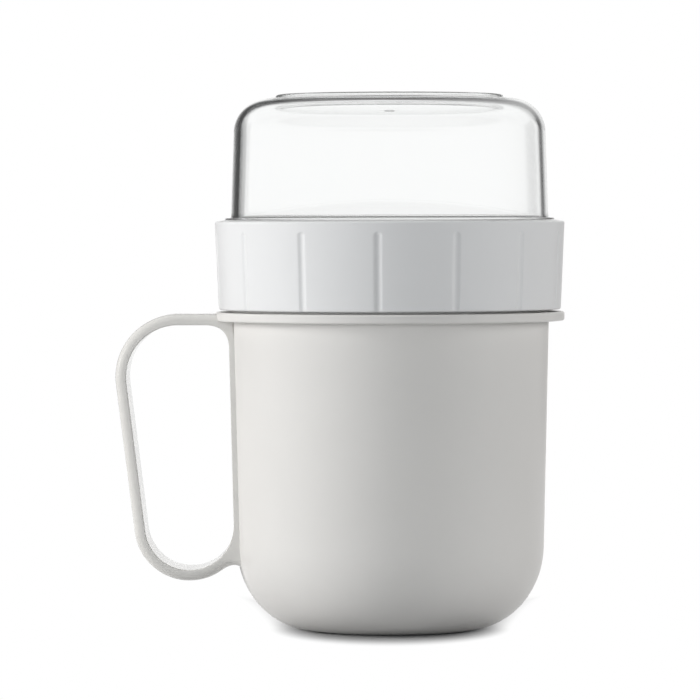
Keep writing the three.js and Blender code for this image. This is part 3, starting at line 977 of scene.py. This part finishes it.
@dataclass
class Collar:
    """The screw collar: a flared ring with flutes outside, and ridges, lips and a seal ledge inside.

    The wall has a row of points at each wall_spacing, and at each end_spacing where the flutes end. That
    stretch lies under the shoulder by the two end_rows.
    """

    bottom: float
    top: float
    top_radius: float
    lip_low: float
    lip_high: float
    flare: float = 1.15
    wall: float = 2.15
    bore_step: float = 1.0
    crown: float = 0.5
    lip_depth: float = 1.1
    lip_thick: float = 1.2
    ledge: float = 0.9
    ledge_drop: float = 1.8
    seat_gap: float = 0.3
    edge_round: float = 0.6
    inner_round: float = 0.2
    flutes: int = 14
    flute_phase_deg: float = -93.8
    flute_width: float = 2.2
    flute_depth: float = 0.4
    flute_top_margin: float = 3.0
    flute_soft: float = 0.05
    wall_spacing: float = 1.2
    end_rows: tuple[float, float] = (6.0, 2.0)
    end_spacing: float = 0.25
    mug_ridge: float = 0.91
    mug_ridge_low_end: float = 1.5
    bowl_ridge: float = 0.77
    bowl_ridge_low_end: float = 4.7
    columns_per_flute: int = 32
    crowding: float = 0.82

    @classmethod
    def from_frame(cls) -> "Collar":
        """Takes the outer sizes and the divider's place from the frame.

        Returns:
            The collar in the frame's sizes.
        """
        low, high = box_of("screw_collar")
        _, divider_high = box_of("divider_disc")
        return cls(
            bottom=low[2],
            top=high[2],
            top_radius=max(high[0], high[1]),
            lip_low=divider_high[2] - Divider.plate,
            lip_high=divider_high[2],
        )

    @property
    def low_radius(self) -> float:
        """Radius of the collar's lower edge."""
        return self.top_radius - self.flare

    def angles(self) -> np.ndarray:
        """Gives the columns' angles, crowded at the flutes.

        In each flute's share p of the turn, the angle is p (t - c sin(2 pi t) / (2 pi)), with t from -1/2
        to 1/2 and c the crowding, so that columns lie closest in the flute's middle.

        Returns:
            Angles in radians.
        """
        share = 2 * np.pi / self.flutes
        t = np.arange(self.columns_per_flute) / self.columns_per_flute - 0.5
        local = share * (t - self.crowding * np.sin(2 * np.pi * t) / (2 * np.pi))
        middles = math.radians(self.flute_phase_deg) + share * np.arange(self.flutes)
        return (middles[:, None] + local).ravel()

    def flute(self, radius: np.ndarray, height: np.ndarray, angle: np.ndarray) -> np.ndarray:
        """Gives the flutes' depth: what a round-ended rod that lies along the outside cuts.

        With u across the flute and v above the rod's end, the rod of radius R cuts
        sqrt(R^2 - u^2 - v^2) - (R - d), where d is the full depth. Below 0 nothing is cut, with a soft
        change between the two.

        Args:
            radius: A column of radii.
            height: A column of heights.
            angle: A row of angles, in radians.

        Returns:
            The depth for each height and angle, which is 0 inside the collar.
        """
        share = 2 * np.pi / self.flutes
        off = (angle - math.radians(self.flute_phase_deg) + share / 2) % share - share / 2
        rod = (self.flute_width**2 / 4 + self.flute_depth**2) / (2 * self.flute_depth)
        end = self.top - self.crown - self.flute_top_margin - self.flute_width / 2
        across, above = radius * np.sin(off), np.maximum(height - end, 0)
        cut = np.sqrt(np.maximum(rod**2 - across**2 - above**2, 0)) - rod + self.flute_depth
        outside = radius > self.low_radius - self.edge_round
        return outside * (cut + np.sqrt(cut**2 + self.flute_soft**2)) / 2

    def ring(self) -> Surface:
        """Turns the collar's closed profile, with flutes outside and two sets of ridges inside.

        Returns:
            The collar's surface.
        """
        lower_bore = self.low_radius - self.wall
        upper_bore = lower_bore - self.bore_step
        lip = lower_bore - self.lip_depth
        seat = upper_bore + self.ledge
        shoulder = self.top - self.crown
        trap_low, trap_high = self.lip_low - self.seat_gap, self.lip_high + self.seat_gap
        fine = self.inner_round
        corners = [
            Corner(lower_bore, self.bottom, 2 * fine),
            Corner(self.low_radius, self.bottom, self.edge_round),
            Corner(self.top_radius, shoulder, self.edge_round),
            Corner(seat, self.top, fine),
            Corner(seat, self.top - self.ledge_drop, fine),
            Corner(upper_bore, self.top - self.ledge_drop, fine),
            Corner(upper_bore, trap_high + self.lip_thick),
            Corner(lip, trap_high + self.lip_thick),
            Corner(lip, trap_high, fine),
            Corner(lower_bore, trap_high, fine),
            Corner(lower_bore, trap_low, fine),
            Corner(lip, trap_low, fine),
            Corner(lip, trap_low - self.lip_thick, fine),
            Corner(lower_bore, trap_low - self.lip_thick, fine),
        ]
        to_mug = Thread(lower_bore, self.bottom + self.mug_ridge_low_end, -self.mug_ridge)
        to_bowl = Thread(upper_bore, trap_high + self.bowl_ridge_low_end, -self.bowl_ridge)
        across = (self.low_radius - NEAR, self.top_radius + NEAR)
        end_low, end_high = (shoulder - row for row in self.end_rows)
        outside = Window(across, (self.bottom, shoulder), self.wall_spacing)
        flute_ends = Window(across, (end_low, end_high), self.end_spacing)
        profile = drawn(corners, closed=True, steps=6)
        profile = np.concatenate([profile, profile[:1]])
        for window in (outside, to_mug.window(), to_bowl.window(), flute_ends):
            profile = window.refine(profile)
        profile = profile[:-1]

        def swell(radius: np.ndarray, height: np.ndarray, angle: np.ndarray) -> np.ndarray:
            """Cuts the flutes into the outside and grows the ridges inwards from the bores."""
            ridges = to_mug.swell(radius, height, angle) + to_bowl.swell(radius, height, angle)
            return ridges - self.flute(radius, height, angle)

        return turned(profile, self.angles(), swell)

    def build(self) -> None:
        """Makes and dresses the collar."""
        piece = self.ring().to_object("fluted_collar")
        fit(piece, COLLAR_FINISH.material(), Body.COLLAR, "screw_collar")


@dataclass
class Seal:
    """A soft ring with rounded edges."""

    name: str
    node: str
    body: Body
    width: float
    bend: float = 0.45
    columns: int = 192

    def build(self) -> None:
        """Makes and dresses the ring in its frame node's place."""
        low, high = box_of(self.node)
        inner, outer = high[0] - self.width, high[0]
        corners = [
            Corner(inner, low[2], self.bend),
            Corner(outer, low[2], self.bend),
            Corner(outer, high[2], self.bend),
            Corner(inner, high[2], self.bend),
        ]
        ring = turned(drawn(corners, closed=True, steps=6), even_angles(self.columns))
        fit(ring.to_object(self.name), SEAL_FINISH.material(), self.body, self.node)


@dataclass
class Divider:
    """The divider: a disc with a grooved skirt underneath, and the seal in its groove."""

    top: float
    skirt_bottom: float
    radius: float
    plate: float = 2.0
    roof: float = 0.7
    edge: float = 1.1
    groove_wall: float = 0.5
    groove_width: float = 2.1
    inner_wall: float = 1.5
    bend: float = 0.2
    seal_width: float = 1.5
    columns: int = 256

    @classmethod
    def from_frame(cls) -> "Divider":
        """Takes the outer sizes from the frame."""
        low, high = box_of("divider_disc")
        return cls(top=high[2], skirt_bottom=low[2], radius=high[0])

    def disc(self) -> Surface:
        """Turns the disc's profile, from the middle of its underside round to the middle of its top.

        Returns:
            The disc's surface.
        """
        under = self.top - self.plate
        skirt = self.radius - self.edge
        groove_outer = skirt - self.groove_wall
        groove_inner = groove_outer - self.groove_width
        skirt_inner = groove_inner - self.inner_wall
        roof = under - self.roof
        bend = self.bend
        corners = [
            Corner(0, under),
            Corner(skirt_inner, under, 2 * bend),
            Corner(skirt_inner, self.skirt_bottom, bend),
            Corner(groove_inner, self.skirt_bottom, bend),
            Corner(groove_inner, roof, bend),
            Corner(groove_outer, roof, bend),
            Corner(groove_outer, self.skirt_bottom, bend),
            Corner(skirt, self.skirt_bottom, bend),
            Corner(skirt, under, bend),
            Corner(self.radius, under, bend),
            Corner(self.radius, self.top, 2 * bend),
            Corner(0, self.top),
        ]
        return turned(drawn(corners, closed=False, steps=5), even_angles(self.columns))

    def build(self) -> None:
        """Makes and dresses the disc and its seal."""
        piece = self.disc().to_object("divider_plate")
        fit(piece, DIVIDER_FINISH.material(), Body.DIVIDER, "divider_disc")
        Seal("mug_sealing_ring", "mug_seal", Body.DIVIDER, self.seal_width).build()


@dataclass
class Bowl:
    """The clear bowl, mouth down, and its seal.

    It has a threaded neck, a flange, a drafted wall, a round shoulder and a foot ring.
    """

    top: float
    rim: float
    flange_radius: float
    neck_length: float = 12.1
    flange_thick: float = 0.5
    flange_width: float = 2.8
    wall_step: float = 1.0
    draft: float = 0.85
    shoulder: float = 10.0
    wall: float = 2.1
    ceiling: float = 1.8
    plate: float = 1.4
    neck_wall: float = 1.4
    foot_inset: float = 2.55
    foot_width: float = 1.7
    foot_height: float = 1.2
    foot_recess: float = 2.0
    foot_round: float = 0.8
    step_inset: float = 0.2
    step_run: float = 0.6
    edge_round: float = 0.3
    ridge_height: float = 1.1
    ridge_low_end: float = 2.4
    gate_radius: float = 1.5
    gate_height: float = 0.4
    seal_width: float = 1.8
    flat_spacing: float = 2.0
    columns: int = 320

    @classmethod
    def from_frame(cls) -> "Bowl":
        """Takes the outer sizes from the frame."""
        low, high = box_of("clear_bowl")
        return cls(top=high[2], rim=low[2], flange_radius=high[0])

    def shell(self) -> Surface:
        """Turns the bowl: from the gate mark inside its top down to the rim, and up the outside.

        Returns:
            The bowl's surface.
        """
        neck = self.flange_radius - self.flange_width
        mouth = neck - self.neck_wall
        low_radius = neck + self.wall_step
        high_radius = low_radius - self.draft
        flange_low = self.rim + self.neck_length
        flange_high = flange_low + self.flange_thick
        shoulder_top = self.top - self.foot_height
        plate_top = self.top - self.foot_recess
        plate_low = plate_top - self.plate
        bend_foot = high_radius - self.shoulder
        foot = bend_foot - self.foot_inset
        slope = self.draft / (shoulder_top - self.shoulder - flange_high)
        outer_corner = high_radius - slope * self.shoulder
        inner_bend = self.shoulder - self.wall
        inner_corner = high_radius - self.wall - slope * inner_bend
        inner_top = shoulder_top - self.ceiling
        step = foot - self.foot_width - self.step_inset
        edge = self.edge_round
        corners = [
            Corner(0, plate_low - self.gate_height),
            Corner(self.gate_radius, plate_low - self.gate_height, edge / 2),
            Corner(self.gate_radius, plate_low, edge / 2),
            Corner(step, plate_low, edge),
            Corner(step + self.step_run, inner_top, edge),
            Corner(inner_corner, inner_top, inner_corner - bend_foot, inner_bend),
            Corner(low_radius - self.wall, flange_high, self.wall),
            Corner(mouth, self.rim, edge),
            Corner(neck, self.rim, edge),
            Corner(neck, flange_low, edge / 2),
            Corner(self.flange_radius, flange_low, edge / 2),
            Corner(self.flange_radius, flange_high, edge),
            Corner(low_radius, flange_high, edge),
            Corner(outer_corner, shoulder_top, self.shoulder, outer_corner - bend_foot),
            Corner(foot, shoulder_top, edge),
            Corner(foot, self.top, self.foot_round),
            Corner(foot - self.foot_width, self.top, self.foot_round),
            Corner(foot - self.foot_width, plate_top, edge),
            Corner(0, plate_top),
        ]
        thread = Thread(neck, self.rim + self.ridge_low_end, self.ridge_height)
        profile = thread.window().refine(drawn(corners, closed=False, steps=14))
        for flat in (plate_low, plate_top):
            profile = Window((0.0, step), (flat - NEAR, flat + NEAR), self.flat_spacing).refine(profile)
        return turned(profile, even_angles(self.columns), thread.swell)

    def build(self) -> None:
        """Makes and dresses the bowl and its seal."""
        shell = self.shell().to_object("bowl_shell")
        fit(shell, BOWL_FINISH.material(), Body.BOWL, "clear_bowl")
        Seal("bowl_sealing_ring", "bowl_seal", Body.BOWL_RING, self.seal_width).build()


@dataclass(frozen=True)
class Lamp:
    """A soft lamp with a rectangular face.

    Attributes:
        name: Its name.
        place: Where it stands, in metres.
        size: Width and height of its face, in metres.
        level: How bright a white face turned to it becomes at the cup, where 1 is white.
        tone: Its colour.
    """

    name: str
    place: tuple[float, float, float]
    size: tuple[float, float]
    level: float
    tone: Colour = WHITE

    def light(self, target: Vector) -> None:
        """Sets the lamp up, facing a point.

        A lamp of power P at distance d lights a face turned to it to P / (pi d)^2 of white.

        Args:
            target: The point, in metres.
        """
        data = bpy.data.lights.new(self.name, "AREA")
        data.shape = "RECTANGLE"
        data.size, data.size_y = self.size
        towards = target - Vector(self.place)
        data.energy = self.level * (math.pi * towards.length) ** 2
        data.color = self.tone
        lamp = bpy.data.objects.new(self.name, data)
        lamp.location = self.place
        lamp.rotation_euler = towards.to_track_quat("-Z", "Y").to_euler()
        lamp.visible_camera = False
        lamp.visible_transmission = False
        lamp.visible_glossy = False
        bpy.context.scene.collection.objects.link(lamp)


@dataclass(frozen=True)
class ShadowPatch:
    """The grey part of the table round the cup: a painted soft shadow, with the lamps' real shadow on it.

    Attributes:
        squeeze: How many times a distance to the side counts.
        widening: How much less it counts behind the cup, for each metre.
        start: Distance from the cup's axis where the table starts to turn plain white, in metres.
        end: Distance where it is plain white.
        side_share: How much later the turn starts at the sides, as a share of the squared distance.
        behind: Distances straight back from the axis where it starts to turn white and where it is white.
    """

    squeeze: float = 1.7
    widening: float = 2.4
    start: float = 0.031
    end: float = 0.062
    side_share: float = 0.35
    behind: tuple[float, float] = (0.05, 0.12)

    def white(self, shader: Shader, spot: Value) -> Value:
        """Gives where the table turns from its painted grey shadow to plain white.

        It climbs smoothly with the squared distance, where the side counts more and the way back counts
        for nothing. Behind the cup it also climbs with the distance straight back.

        Args:
            shader: The table's shader.
            spot: The place on the table.

        Returns:
            0 where the painted and the real shadow show to 1 where the table is plain white.
        """
        side, back, _ = shader.axes(spot)
        front, behind = (0.0 - back).maximum(0.0), back.maximum(0.0)
        across = self.squeeze * side * (1 - self.widening * behind)
        aside = (across * across).minimum(self.end**2)
        away = across * across + front * front
        start = self.start**2 + self.side_share * aside
        return shader.eased(away, start, self.end**2).maximum(shader.eased(behind, *self.behind))


@dataclass(frozen=True)
class DarkFrame:
    """The dark frame round the white backdrop that draws the clear bowl's outlines.

    It lies in the directions that point back. Each direction has the length 1, and the frame is laid out
    by its parts to the side and upwards.

    Attributes:
        middle: The backdrop's middle, to the side.
        inside: Distances from the middle where the frame begins and where it is full.
        outside: Distances where it starts to fade and where it ends.
        squash: How much a distance upwards counts for the outside.
        low_shift: How far to the left the outside lies at low heights.
        climb: Heights where the low part ends and where the upper part begins.
        left_edge: Distances to the left where a sharp edge begins and ends.
        left_dark: How full the frame is from that edge on.
        right_edge: Distances to the right where a soft edge begins and ends.
        right_dark: How full the frame is from that edge on.
        depth: How dark the full frame is.
        relief: How much less dark it is in the upper right.
        relief_reach: Distances to the right where that begins and where it is full.
        back: How far back a direction points where the frame begins and where it is full.
    """

    middle: float = 0.04
    inside: tuple[float, float] = (0.2, 0.4)
    outside: tuple[float, float] = (0.54, 0.66)
    squash: float = 0.82
    low_shift: float = 0.1
    climb: tuple[float, float] = (0.05, 0.25)
    left_edge: tuple[float, float] = (0.235, 0.255)
    left_dark: float = 0.85
    right_edge: tuple[float, float] = (0.0, 0.22)
    right_dark: float = 0.24
    depth: float = 0.93
    relief: float = 0.3
    relief_reach: tuple[float, float] = (0.0, 0.25)
    back: tuple[float, float] = (0.1, 0.3)

    def dark(self, shader: Shader, way: Value) -> Value:
        """Gives how dark the surroundings are.

        The frame is full where the inside's smooth start or an edge has made it so, and it fades towards
        the outside.

        Args:
            shader: The surroundings' shader.
            way: The direction.

        Returns:
            0 for white to 1 for black.
        """
        x, y, z = shader.axes(way)
        side = x - self.middle
        low = self.squash * z
        upper = shader.eased(z, *self.climb)
        shifted = side + self.low_shift * (1 - upper)
        left = self.left_dark * shader.eased(0.0 - side, *self.left_edge)
        right = self.right_dark * shader.eased(side, *self.right_edge)
        inside = shader.eased(side * side + z * z, *(edge**2 for edge in self.inside))
        outside = shader.eased(shifted * shifted + low * low, *(edge**2 for edge in self.outside))
        ring = inside.maximum(left).maximum(right) * (1 - outside)
        depth = self.depth - self.relief * upper * shader.eased(side, *self.relief_reach)
        return shader.eased(y, *self.back) * (depth * ring)


@dataclass(frozen=True)
class Studio:
    """A white table and backdrop with soft lamps.

    Attributes:
        target: The point that the lamps face, in metres.
        ambient: How bright the surrounding light is on its own.
        floor_radius: How far the table reaches, in metres.
        floor_drop: How far it lies under the cup, in metres.
        floor_thick: How thick it is, in millimetres.
        floor_columns: How many sides its edge has.
        floor_bounce: What the table throws back on the cup.
        painted_shadow_grey: The table's grey by the cup, a painted shadow under the real one; farther out
            it is plain white.
        floor_cloud: How much darker than that it is in places.
        floor_cloud_mm: Width of those places.
        clear_bounces: The most reflections, and the most passes through surfaces, that a ray makes.
        all_bounces: The most bounces of all kinds together.
        shadow: The part of the table that shows the cup's painted shadow and its real one.
        screens: The dark frame round the backdrop.
        lamps: The soft lamps.
    """

    target: tuple[float, float, float] = (0.0, 0.0, 0.09)
    ambient: float = 0.02
    floor_radius: float = 0.8
    floor_drop: float = 0.00005
    floor_thick: float = 1.0
    floor_columns: int = 96
    floor_bounce: float = 0.46
    # The table's grey near the cup is a painted shadow; the lamps' real shadow falls on it too.
    painted_shadow_grey: float = 0.4
    floor_cloud: float = 0.01
    floor_cloud_mm: float = 60.0
    clear_bounces: int = 64
    all_bounces: int = 96
    shadow: ShadowPatch = ShadowPatch()
    screens: DarkFrame = DarkFrame()
    lamps: tuple[Lamp, ...] = (
        Lamp("lamp_left", (-1.027, -0.218, 0.3), (0.5, 0.5), 0.96),
        Lamp("lamp_right", (1.044, -0.11, 0.38), (0.5, 0.5), 0.44),
        Lamp("lamp_front", (0.0, -1.2, 0.2), (0.5, 0.4), 0.33, (0.96, 1.0, 1.03)),
        Lamp("lamp_top", (-0.1, 0.05, 1.2), (0.7, 0.7), 0.5),
        Lamp("lamp_back", (0.2, 0.8, 0.5), (0.5, 0.5), 0.8),
    )

    def seen(self, shader: Shader) -> Value:
        """Gives 1 for rays that show the background: the camera's, mirrored and transmitted ones."""
        camera, mirrored, through = (shader.ray(kind) for kind in ("Camera", "Glossy", "Transmission"))
        return camera.maximum(mirrored).maximum(through)

    def lay_floor(self) -> None:
        """Lays the round table."""
        material, shader = new_shader("white_table")
        spot = shader.spot()
        # Near the cup the table is a diffuse grey, a painted shadow with the lamps' real shadow on it;
        # farther out it glows plain white.
        grey = (self.painted_shadow_grey,) * 3
        cloud = shader.noise(spot, self.floor_cloud_mm)
        pale = shader.ramp(cloud, shade(grey, -self.floor_cloud), grey)
        shown = shader.add("ShaderNodeBsdfDiffuse", {}, {"Color": pale})
        glow = shader.add("ShaderNodeEmission", {}, {"Color": (*WHITE, 1.0), "Strength": 1.0})
        bright = shader.mix(self.shadow.white(shader, spot), shown, glow)
        bounce = shader.add("ShaderNodeBsdfDiffuse", {}, {"Color": (*(self.floor_bounce,) * 3, 1.0)})
        mixed = shader.mix(self.seen(shader), bounce, bright)
        shader.add("ShaderNodeOutputMaterial", {}, {"Surface": mixed})
        radius, low = self.floor_radius / MM, -self.floor_thick
        corners = [Corner(0, 0), Corner(radius, 0), Corner(radius, low), Corner(0, low)]
        disc = turned(drawn(corners, closed=False, steps=1), even_angles(self.floor_columns))
        floor = disc.to_object("table")
        floor.data.materials.append(material)
        floor.location.z = -self.floor_drop

    def set_world(self) -> None:
        """Sets the surroundings.

        The camera sees them white. Reflections and views through the bowl see them white with the dark
        frame. All other rays find a plain soft level.
        """
        world = bpy.data.worlds.new("studio")
        world.use_nodes = True
        bpy.context.scene.world = world
        shader = Shader(world.node_tree)
        way = shader.add("ShaderNodeTexCoord", output="Generated")
        shown = (1 - self.screens.dark(shader, way)).maximum(shader.ray("Camera"))
        seen = self.seen(shader)
        level = seen * shown + (1 - seen) * self.ambient
        light = shader.add("ShaderNodeBackground", {}, {"Color": (*WHITE, 1.0), "Strength": level})
        shader.add("ShaderNodeOutputWorld", {}, {"Surface": light})

    def let_light_through(self) -> None:
        """Lets rays pass the bowl's many surfaces."""
        cycles = bpy.context.scene.cycles
        cycles.glossy_bounces = cycles.transmission_bounces = self.clear_bounces
        cycles.max_bounces = self.all_bounces

    def build(self) -> None:
        """Lays the table, sets the surroundings and the rays' bounces, and lights the lamps."""
        self.lay_floor()
        self.set_world()
        self.let_light_through()
        for lamp in self.lamps:
            lamp.light(Vector(self.target))


@dataclass(frozen=True)
class PhotoCamera:
    """The photograph's camera: far away, at the collar's height, looking slightly down.

    Attributes:
        distance: From the cup's axis, in metres.
        eye_height: Over the table, in metres.
        focal_px: Focal length, in the photograph's pixels.
        axis_px: Where the cup's axis stands in the photograph, from its left side.
        horizon_px: Where the horizon lies in it, from its top.
        roll_deg: How far the photograph is turned.
        sensor_mm: Width of the sensor that the photograph stands for.
        clip: Nearest and farthest distance that is drawn, in metres.
    """

    distance: float = 1.35
    eye_height: float = 0.1216
    focal_px: float = 4500.0
    axis_px: float = 389.6
    horizon_px: float = 223.0
    roll_deg: float = 0.14
    sensor_mm: float = 36.0
    clip: tuple[float, float] = (0.01, 50.0)

    def build(self) -> None:
        """Sets the camera up and makes it the scene's own."""
        data = bpy.data.cameras.new("photo_camera")
        data.sensor_width = self.sensor_mm
        data.lens = self.focal_px / PHOTO_SIDE * self.sensor_mm
        data.clip_start, data.clip_end = self.clip
        camera = bpy.data.objects.new("photo_camera", data)
        camera.location = (0.0, -self.distance, self.eye_height)
        yaw = math.atan((self.axis_px - PHOTO_SIDE / 2) / self.focal_px)
        pitch = math.atan((self.horizon_px - PHOTO_SIDE / 2) / self.focal_px)
        camera.rotation_euler = Euler((math.pi / 2 + pitch, math.radians(self.roll_deg), yaw), "XYZ")
        bpy.context.scene.collection.objects.link(camera)
        bpy.context.scene.camera = camera


def main() -> None:
    """Builds the camera, the studio and each sub-assembly in turn."""
    logging.basicConfig(level=logging.INFO, format="%(name)s: %(message)s")
    bpy.context.scene.view_settings.view_transform = "Standard"
    PhotoCamera().build()
    Studio().build()
    for assembly in (Mug.from_frame(), Collar.from_frame(), Divider.from_frame(), Bowl.from_frame()):
        assembly.build()
        LOG.info("%s is in place", type(assembly).__name__.lower())


if __name__ == "__main__":
    main()
